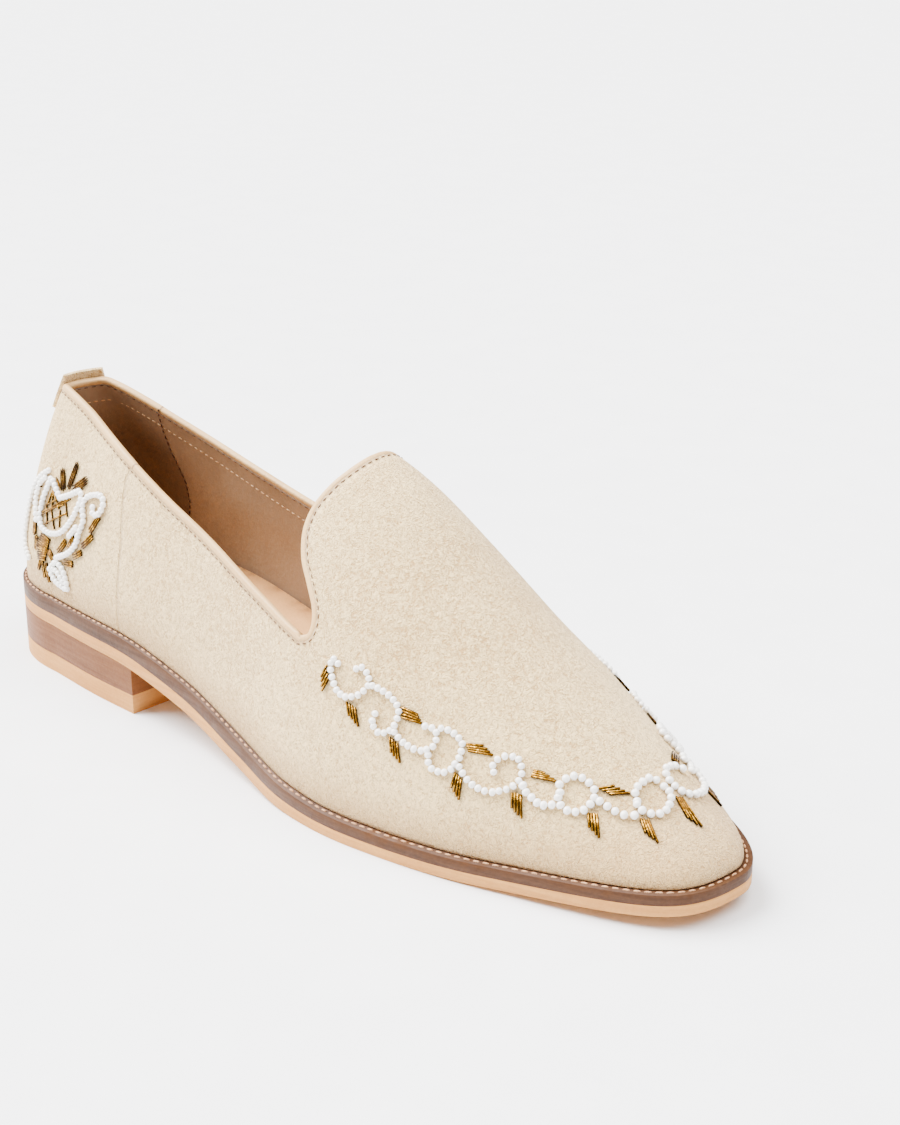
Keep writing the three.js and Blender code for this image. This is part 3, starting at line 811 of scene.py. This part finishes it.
def collar_stations():
    halves = []
    for side in SIDES:
        _, top, climb, count = upper_columns(side, 90, 76)
        top, climb = top[:count], climb[:count]
        out = axes_at(side, top, np.minimum(climb, 0.9995))[3]
        halves.append((last_point(side, top, climb), out))
    place, out = (around(*pair) for pair in zip(*halves))
    out[[0, len(halves[0][0]) - 1], 1] = 0  # the back of the heel and the top of the tongue
    out = unit(out)
    way = unit(np.roll(place, -1, 0) - np.roll(place, 1, 0))
    up = unit(np.cross(out, way))
    return place, way, up, unit(np.cross(way, up))


collar_place, collar_way, collar_up, collar_out = collar_stations()
collar_length = np.linalg.norm(np.roll(collar_place, -1, 0) - collar_place, axis=1).sum()
print("collar length:", round(collar_length), "mm")

# %% Binding
OUTER_JOINT_X, INNER_JOINT_X, JOINT_STEP = 68.7, 42.5, 0.1
BINDING_HALF_WIDTH, BINDING_HALF_HEIGHT, BINDING_INWARD, BINDING_RISE = 1.12, 1.1, 1.0, 0.85


def fuller(value, power):
    """A sine or cosine bent so that a circle becomes a rounded square."""
    return np.sign(value) * np.abs(value) ** power


joint_way = collar_place[:, 0] - np.where(collar_place[:, 1] < 0, OUTER_JOINT_X, INNER_JOINT_X)
thicker = np.where(joint_way < 0, JOINT_STEP, 0.0)[:, None]
ring = []
for turn in np.linspace(0, 2 * np.pi, 17):
    aside = (BINDING_HALF_WIDTH + thicker) * fuller(np.cos(turn), 0.6) - BINDING_INWARD
    above = (BINDING_HALF_HEIGHT + thicker) * fuller(np.sin(turn), 0.8) + BINDING_RISE
    ring.append(collar_place + collar_out * aside + collar_up * above)
ring = np.stack(ring, 1)
ring_joint = np.repeat(joint_way[:, None], ring.shape[1], 1)
binding_sheet = grid_sheet(np.concatenate([ring, ring[:1]]),
                           {"joint": np.concatenate([ring_joint, ring_joint[:1]])})
close(binding_sheet)
piece("binding", binding_sheet, [binding_leather], "collar_binding")

# %% Heel tab
TAB_DROP, TAB_RISE, TAB_CLEARANCE, TAB_THICKNESS = 7.0, 4.6, 0.35, 1.2
TAB_HALF_TURN = {LATERAL: 0.4, MEDIAL: 0.6}
TAB_FOOT_SHARE, TAB_SPREAD, TAB_COLUMNS, TAB_ROWS, EDGE_STEP = 0.9, 1.2, 36, 24, 0.02
tab_lines = []
share = np.linspace(0, 1, TAB_ROWS)
drop = -TAB_DROP + (TAB_RISE + TAB_DROP) * share
for i in range(-TAB_COLUMNS, TAB_COLUMNS + 1):
    side = LATERAL if i < 0 else MEDIAL
    u = (abs(i) / TAB_COLUMNS) ** TAB_SPREAD * TAB_HALF_TURN[side]
    u = u * blend(TAB_FOOT_SHARE, 1, share)
    edge = collar_v(side, u)
    top = last_point(side, u, edge)
    climb = top - last_point(side, u, edge - EDGE_STEP)
    v = edge + EDGE_STEP * drop / np.linalg.norm(climb, axis=-1)
    below = last_point(side, u, np.minimum(v, edge))
    tab_lines.append(np.where((drop < 0)[:, None], below, top + unit(climb) * drop[:, None]))
tab_points = np.stack(tab_lines)
tab_along = unit(np.gradient(tab_points, axis=0))
tab_up = unit(np.gradient(tab_points, axis=1))
tab_out = unit(np.cross(tab_along, tab_up))
if tab_out[TAB_COLUMNS, 3, 0] > 0:
    tab_out = -tab_out
tab_sheet = grid_sheet(tab_points + tab_out * (TAB_CLEARANCE + TAB_THICKNESS))
bmesh.ops.recalc_face_normals(tab_sheet, faces=tab_sheet.faces)
if sum(face.normal.x for face in tab_sheet.faces) > 0:
    bmesh.ops.reverse_faces(tab_sheet, faces=tab_sheet.faces)
tab_suede, tab_colour, tab_normal = suede_finish("tab_suede", cream_light, cream_shade)
tab_suede.feed(Base_Color=tab_colour, Normal=tab_normal)
tab = piece("suede_tab", tab_sheet, [tab_suede], "heel_tab")
modify(tab, "wall", "SOLIDIFY", thickness=TAB_THICKNESS / 1000, offset=-1)
modify(tab, "edge", "BEVEL", width=0.0005, segments=2, limit_method="ANGLE", angle_limit=0.9)

# %% [markdown]
# ## Stitches
#
# A stitch is a short length of thread, pulled down at both ends. One small eight-sided grain is
# repeated along a path, so a whole row is one mesh. Sizes are half lengths in millimetres.

# %% Rows of stitches


def sample(stops, length, values):
    return np.stack([np.interp(stops, length, values[:, k]) for k in range(3)], -1)


def resample(path, outs, pitch, closed=False):
    """Evenly spaced places along a path, with the way ahead and the way out at each."""
    if closed:
        path, outs = np.concatenate([path, path[:1]]), np.concatenate([outs, outs[:1]])
    length = np.concatenate([[0], np.cumsum(np.linalg.norm(np.diff(path, axis=0), axis=1))])
    count = max(int(round(length[-1] / pitch)), 1)
    stops = np.linspace(0, length[-1], count + 1)[:-1 if closed else None]
    way = unit(sample(stops + 0.2, length, path) - sample(stops - 0.2, length, path))
    return sample(stops, length, path), way, unit(sample(stops, length, outs))


def place_matrix(place, way, out, size):
    """A matrix whose X follows the way and whose Z follows out."""
    side_ways = unit(np.cross(out, way))
    out = np.cross(way, side_ways)
    turn = Matrix(np.stack([way * size[0], side_ways * size[1], out * size[2]], -1).tolist()).to_4x4()
    turn.translation = Vector(((place - FOOTPRINT_CENTRE) / 1000).tolist())
    return turn


BATCH = 40


def small_parts(places, ways, outs, sizes, shape="grain", steps=(8, 5)):
    """Many small parts in one mesh: grains for beads and stitches, rods for metal.

    They are made in batches, because an operator gets slow in a mesh that is already large.
    `crown` tells how far a point is above its part's middle: 1 on top, -1 next to the leather."""
    parts = bmesh.new()
    parts.verts.layers.float.new("crown")
    lay = Matrix.Rotation(np.pi / 2, 4, "Y")
    every = list(zip(places, ways, outs, sizes))
    for first in range(0, len(every), BATCH):
        batch = bmesh.new()
        layer = batch.verts.layers.float.new("crown")
        for place, way, out, size in every[first:first + BATCH]:
            matrix = place_matrix(place, way, out, np.array(size) / 1000) @ lay
            if shape == "grain":
                made = bmesh.ops.create_uvsphere(batch, u_segments=steps[0], v_segments=steps[1],
                                                 radius=1, matrix=matrix)
            else:
                made = bmesh.ops.create_cone(batch, cap_ends=True, segments=steps[0], radius1=1,
                                             radius2=1, depth=2, matrix=matrix)
            rise = Vector((out / size[2] * 1000).tolist())
            for vert in made["verts"]:
                vert[layer] = (vert.co - matrix.translation).dot(rise)
        add_to(parts, batch)
    return parts


def stitch_row(name, path, outs, pitch, size, finish, closed=False):
    place, way, out = resample(path, outs, pitch, closed)
    piece(name, small_parts(place, way, out, [size] * len(place), steps=(8, 4)), [finish])


collar_rows = [  # name, mm below the edge, mm outward, way it faces, pitch, half sizes and thread
    ("collar_stitches", 0.75, 0.05, 1, 2.5, (0.8, 0.22, 0.2), dark_thread),
    ("lining_stitches", 7.0, -2.15, -1, 2.4, (0.8, 0.28, 0.22), lining_thread),
    ("inner_edge_stitches", 0.6, -2.15, -1, 2.7, (0.8, 0.2, 0.18), dark_thread),
]
for name, down, outward, facing, pitch, size, thread in collar_rows:
    stitch_row(name, collar_place - collar_up * down + collar_out * outward, collar_out * facing, pitch,
               size, thread, closed=True)


def find_on(side, x, height):
    """The u and v of the place on the last with this x and this height."""
    u = float(side_way(x))
    for _ in range(8):
        v = float(height_to_v(side, u, height))
        u += float(x - last_point(side, u, v)[0]) / (TOE_ARC_START - HEEL_ARC_DEPTH)
    return u, v


POCKET_STITCH_DEPTH, WELT_STITCH_SHARE, WELT_STITCH_RISE = 2.12, 0.62, 0.05
for side, side_name in zip(SIDES, ("outer", "inner")):
    pairs = np.array([find_on(side, x, height) for height, x in zip(*pocket_seam.values())])
    place, _, _, out = axes_at(side, *pairs.T)
    stitch_row(f"pocket_stitches_{side_name}", place - out * POCKET_STITCH_DEPTH, -out, 2.6,
               (1.0, 0.3, 0.22), brown_thread)

welt_paths = []
for side in SIDES:
    plan = inset_point(side, sole_steps(3.0), lambda x: welt_margin(x) * WELT_STITCH_SHARE)
    welt_paths.append(np.column_stack([plan, welt_top(plan[..., 0]) + WELT_STITCH_RISE]))
welt_path = around(*welt_paths)
stitch_row("welt_stitches", welt_path, np.tile([0.0, 0.0, 1.0], (len(welt_path), 1)), 2.9,
           (1.05, 0.36, 0.36), pale_thread, closed=True)

# %% [markdown]
# ## Garland
#
# The pearls run in a wavy line round the toe, curling into a ring at each wave, and small
# bundles of gold rods point away from the rings. Each row lists the places a run of pearls
# passes through as pairs of `u` and `v`, in thousandths. The inner side mirrors the outer one,
# except for the two rings that meet on the toe, where the pearls are a little larger.

# %% Pearl runs
both_sides_runs = [
    [(1680, 404), (1669, 407), (1670, 385), (1677, 365), (1691, 345), (1710, 348), (1727, 376),
     (1736, 411), (1733, 434), (1720, 444), (1711, 428)],
    [(1742, 420), (1758, 429), (1777, 429), (1788, 417), (1792, 395), (1790, 357), (1782, 330),
     (1771, 318), (1759, 330), (1759, 358)],
    [(1794, 348), (1810, 337), (1829, 339), (1843, 356), (1851, 384), (1852, 424), (1842, 434),
     (1832, 427)],
    [(1853, 453), (1870, 467), (1885, 460), (1890, 428), (1888, 372), (1880, 332), (1863, 315),
     (1852, 331), (1849, 349)],
    [(1894, 377), (1911, 351), (1930, 344), (1950, 367), (1967, 420), (1971, 486), (1961, 535),
     (1949, 529), (1938, 499), (1934, 456), (1939, 434)],
    [(1978, 450), (1992, 426), (2018, 417), (2040, 440)],
    [(2045, 514), (2034, 552), (2047, 612), (2083, 646), (2119, 630), (2132, 589), (2128, 515),
     (2099, 462), (2064, 458), (2047, 490)],
    [(2151, 594), (2201, 595), (2246, 608), (2278, 640)],
]
outer_ring = [
    (2258, 734), (2226, 790), (2236, 900), (2297, 940), (2599, 925), (2567, 852), (2474, 757),
    (2380, 713), (2298, 700), (2266, 712)]
inner_ring = [
    (2279, 777), (2253, 810), (2250, 890), (2268, 955), (2360, 980), (2720, 965), (2745, 895),
    (2659, 807), (2530, 701), (2375, 590), (2265, 575), (2205, 630)]
pearl_runs = {LATERAL: both_sides_runs + [outer_ring], MEDIAL: both_sides_runs + [inner_ring]}


def run_on(side, pairs, steps, pitch, lift):
    """Places, ways and ways out along a smooth line through pairs of u and v."""
    rows = np.array(pairs)
    u, v = through(rows, np.arange((len(rows) - 1) * steps + 1) / steps).T
    place, way, out = resample(last_point(side, u, v), axes_at(side, u, v)[3], pitch)
    return place + out * lift, way, out


SIDE_PEARL, TOE_PEARL, TOE_PEARLS_FROM = (2.0, 1.04), (2.25, 1.18), 1.96
PEARL_LIFT, PEARL_WOBBLE = 0.72, 0.08
found_runs = []
for side in SIDES:
    for run in pearl_runs[side]:
        run = np.array(run) / 1000
        pitch, radius = TOE_PEARL if run[0, 0] > TOE_PEARLS_FROM else SIDE_PEARL
        found = run_on(side, run, 12, pitch, radius * PEARL_LIFT)
        found_runs.append((*found, np.full(len(found[0]), radius)))
bead_places, bead_ways, bead_outs, bead_radii = map(np.concatenate, zip(*found_runs))
wobble = random.normal(0, PEARL_WOBBLE, bead_places.shape)
bead_sizes = np.stack([random.uniform(0.88, 0.98, len(bead_places)),
                       random.uniform(0.98, 1.08, len(bead_places)),
                       random.uniform(0.94, 1.04, len(bead_places))], -1) * bead_radii[:, None]
garland = small_parts(bead_places + wobble, bead_ways, bead_outs, bead_sizes, steps=(10, 7))
piece("garland_pearls", garland, [pearl])

# %% Gold rods of the garland
both_sides_sprays = [  # the first rod's start and end, then the last rod's
    (1662, 381, 1657, 342, 1671, 356, 1664, 313), (1711, 335, 1720, 306, 1726, 337, 1739, 295),
    (1789, 326, 1797, 284, 1802, 323, 1813, 270), (1892, 353, 1892, 288, 1902, 344, 1907, 259),
    (1969, 402, 1976, 332, 1980, 416, 1992, 307), (2137, 506, 2160, 427, 2161, 529, 2201, 397),
    (1792, 425, 1816, 440, 1796, 400, 1825, 424), (1891, 462, 1912, 498, 1896, 445, 1929, 491),
    (1981, 536, 1995, 556, 1977, 507, 2019, 558),
]
outer_sprays = [
    (2317, 650, 2372, 563, 2364, 670, 2465, 521), (2128, 651, 2162, 725, 2163, 663, 2216, 751),
    (2854, 909, 2845, 730, 2979, 887, 2927, 635),
]
inner_sprays = [
    (2300, 540, 2400, 440, 2420, 575, 2525, 455), (2173, 700, 2217, 794, 2195, 660, 2242, 763),
]
sprays = [(LATERAL, spray) for spray in both_sides_sprays + outer_sprays]
sprays += [(MEDIAL, spray) for spray in both_sides_sprays + inner_sprays]
ROD_RADIUS, RODS_IN_SPRAY = 0.4, 4


def lay_rod(side, from_u, from_v, to_u, to_v, radius, stretch=1.0, aside=0.0):
    """A rod between two places on the leather: its middle, way, out and half sizes."""
    start, end = last_point(side, from_u, from_v), last_point(side, to_u, to_v)
    out = axes_at(side, (from_u + to_u) / 2, (from_v + to_v) / 2)[3]
    way = end - start
    way = unit(way - out * np.dot(way, out))
    middle = last_point(side, (from_u + to_u) / 2, (from_v + to_v) / 2)
    half = np.linalg.norm(end - start) / 2 * stretch
    return middle + out * radius * 1.05 + np.cross(out, way) * aside, way, out, (half, radius, radius)


def trim_ends(cut):
    """Takes the sharp rim off the ends of the rods."""
    edges = [edge for edge in cut.edges if edge.calc_face_angle(0) > 1.2]
    bmesh.ops.bevel(cut, geom=edges, offset=0.00012, segments=1, profile=0.5, affect="EDGES",
                    material=-1)
    return cut


rods = []
for side, spray in sprays:
    spray = np.array(spray) / 1000
    for share in np.linspace(0, 1, RODS_IN_SPRAY):
        rod = blend(spray[:4], spray[4:], share)
        rods.append(lay_rod(side, *rod, ROD_RADIUS, random.uniform(0.94, 1.06)))
piece("garland_gold", trim_ends(small_parts(*zip(*rods), shape="rod", steps=(10,))), [gold])

# %% [markdown]
# ## Heel crest
#
# A shield of pearls with a gold trellis inside, a plume above, scrolls at its sides and laurel
# leaves outside them. The drawing is in millimetres along and up the leather from the middle
# of the shield, and each point is walked out over the surface so that nothing stretches. The
# inner side of the heel has the same crest, mirrored.

# %% Walking over the leather
CREST_U, CREST_HEIGHT = float(side_way(36.6)), 55.0


def walk(side, ahead_mm, up_mm):
    """From the crest's middle along and up over the surface to a pair of u and v."""
    u, v = CREST_U, float(height_to_v(side, CREST_U, CREST_HEIGHT))
    steps, nudge = 10, 0.002
    _, ahead, up, _ = axes_at(side, u, v)
    way = ahead * ahead_mm + up * up_mm
    reach = np.linalg.norm(way)
    for _ in range(steps):
        here = last_point(side, u, v)
        by_u = (last_point(side, u + nudge, v) - here) / nudge
        by_v = (last_point(side, u, v + nudge) - here) / nudge
        normal = unit(np.cross(by_u, by_v))
        step = unit(way - normal * np.dot(way, normal)) * reach / steps
        du, dv = np.linalg.lstsq(np.stack([by_u, by_v], -1), step, rcond=None)[0]
        u, v = u + du, v + dv
    return u, v


print("middle of the crest:", last_point(LATERAL, *walk(LATERAL, 0, 0)).round(1))

# %% Crest pearls
crest_pearls = {  # in tenths of a millimetre
    "shield": [
        (-8, 54), (27, 68), (64, 86), (97, 101), (111, 78), (105, 51), (94, 21), (77, -7), (47, -41),
        (12, -62), (-27, -71), (-69, -69), (-98, -57), (-112, -31), (-113, 3), (-109, 34), (-98, 68),
        (-86, 102), (-49, 81), (-8, 54)],
    "right_scroll": [
        (186, 69), (196, 49), (222, 54), (236, 79), (232, 104), (206, 114), (169, 105), (141, 90),
        (130, 68), (136, 43), (150, 20), (146, -7), (136, -34), (134, -58), (117, -85), (82, -113),
        (23, -141)],
    "right_inner": [(116, -16), (99, -36), (86, -50)],
    "left_scroll": [
        (-114, 123), (-146, 105), (-184, 74), (-214, 36), (-234, -10), (-246, -60), (-250, -110),
        (-230, -156), (-175, -190)],
    "left_inner": [(-126, 96), (-156, 70), (-166, 30), (-154, -12), (-136, -48)],
    "leaf_rim": [
        (-14, -189), (20, -158), (58, -167), (82, -193), (94, -230), (54, -229), (14, -218),
        (-14, -189)],
    "leaf_rib": [(6, -184), (34, -188), (66, -212)],
}
CREST_PEARL_PITCH, CREST_PEARL_RADIUS, CREST_PEARL_LIFT = 1.8, 1.08, 0.7
found_runs = []
for side in SIDES:
    for drawing in crest_pearls.values():
        pairs = [walk(side, a / 10, b / 10) for a, b in drawing]
        lift = CREST_PEARL_RADIUS * CREST_PEARL_LIFT
        found_runs.append(run_on(side, pairs, 8, CREST_PEARL_PITCH, lift))
crest = [np.concatenate(found) for found in zip(*found_runs)]
crest_sizes = random.uniform(0.94, 1.06, (len(crest[0]), 3)) * CREST_PEARL_RADIUS
piece("crest_pearls", small_parts(*crest, crest_sizes, steps=(10, 7)), [pearl])

# %% Crest gold
bundle_groups = {  # rods, radius and pitch in mm, and where bundles start and end in tenths of a mm
    (3, 0.42, 0.85): [(6, 74, -36, 152), (22, 84, 40, 190)],
    (4, 0.4, 0.8): [(42, 88, 122, 150)],
    (1, 0.38, 0): [(-12, 78, -64, 114)],
    (3, 0.38, 0.85): [
        (190, -13, 228, 52), (160, -69, 214, -18), (20, -124, 65, -72), (-159, -6, -143, -104)],
    (3, 0.38, 0.8): [
        (115, -115, 166, -85), (62, -148, 121, -138), (81, -97, 107, -46), (-29, -131, 10, -163),
        (-126, -100, -118, -150)],
    (2, 0.38, 0.85): [(-72, -172, -50, -232)],
    (2, 0.38, 0.8): [
        (-46, -174, -22, -242), (-82, -174, -98, -214), (-186, 54, -144, 68), (-286, 0, -280, -64),
        (-284, -74, -266, -136)],
    (1, 0.34, 0): [(-63, 68, -86, 8), (-86, 8, -62, -48)],
    (1, 0.32, 0): [
        (-62, 66, -49, -1), (-49, -1, -15, -54), (-58, 66, 0, 15), (0, 15, 12, -42), (20, 52, 49, 2),
        (-90, 10, -20, 47), (-60, -54, 62, 14), (-82, -10, 34, 36)],
    (2, 0.32, 0.7): [(-82, -27, 80, 69)],
}
for start, step, count in [((-89, -86, -30, -96), (-4.5, -7.8, -2, -8), 7),
                           ((-108, -140, -34, -128), (2, -7.2, -3, -8), 6)]:
    knot = bundle_groups.setdefault((1, 0.4, 0), [])
    knot += [np.array(start) + np.array(step) * k for k in range(count)]
PLUME_FOOT = 7
tapered, straight = [], []
for side in SIDES:
    for (count, radius, pitch), bundles in bundle_groups.items():
        for bundle in bundles:
            from_a, from_b, to_a, to_b = np.array(bundle) / 10
            ends = (*walk(side, from_a, from_b), *walk(side, to_a, to_b))
            shape = tapered if from_b > PLUME_FOOT else straight
            for k in range(count):
                aside = k - (count - 1) / 2
                shape.append(lay_rod(side, *ends, radius, 1.0 - 0.1 * abs(aside), aside * pitch))
crest_gold = small_parts(*zip(*tapered), steps=(10, 8))
add_to(crest_gold, trim_ends(small_parts(*zip(*straight), shape="rod", steps=(10,))))
piece("crest_gold", crest_gold, [gold])

# %% [markdown]
# ## Floor finish and last step
#
# The floor is plain, matt and nearly white.

# %% Finish
floor_finish = Finish("floor_white", Roughness=0.6)
grain = floor_finish.noise(40, 2, 0.5)
floor_colour = floor_finish.ramp(grain, (0.4, (0.86, 0.86, 0.87)), (0.6, (0.88, 0.88, 0.89)))
floor_finish.feed(Base_Color=floor_colour)
floor.data.materials.append(floor_finish.material)
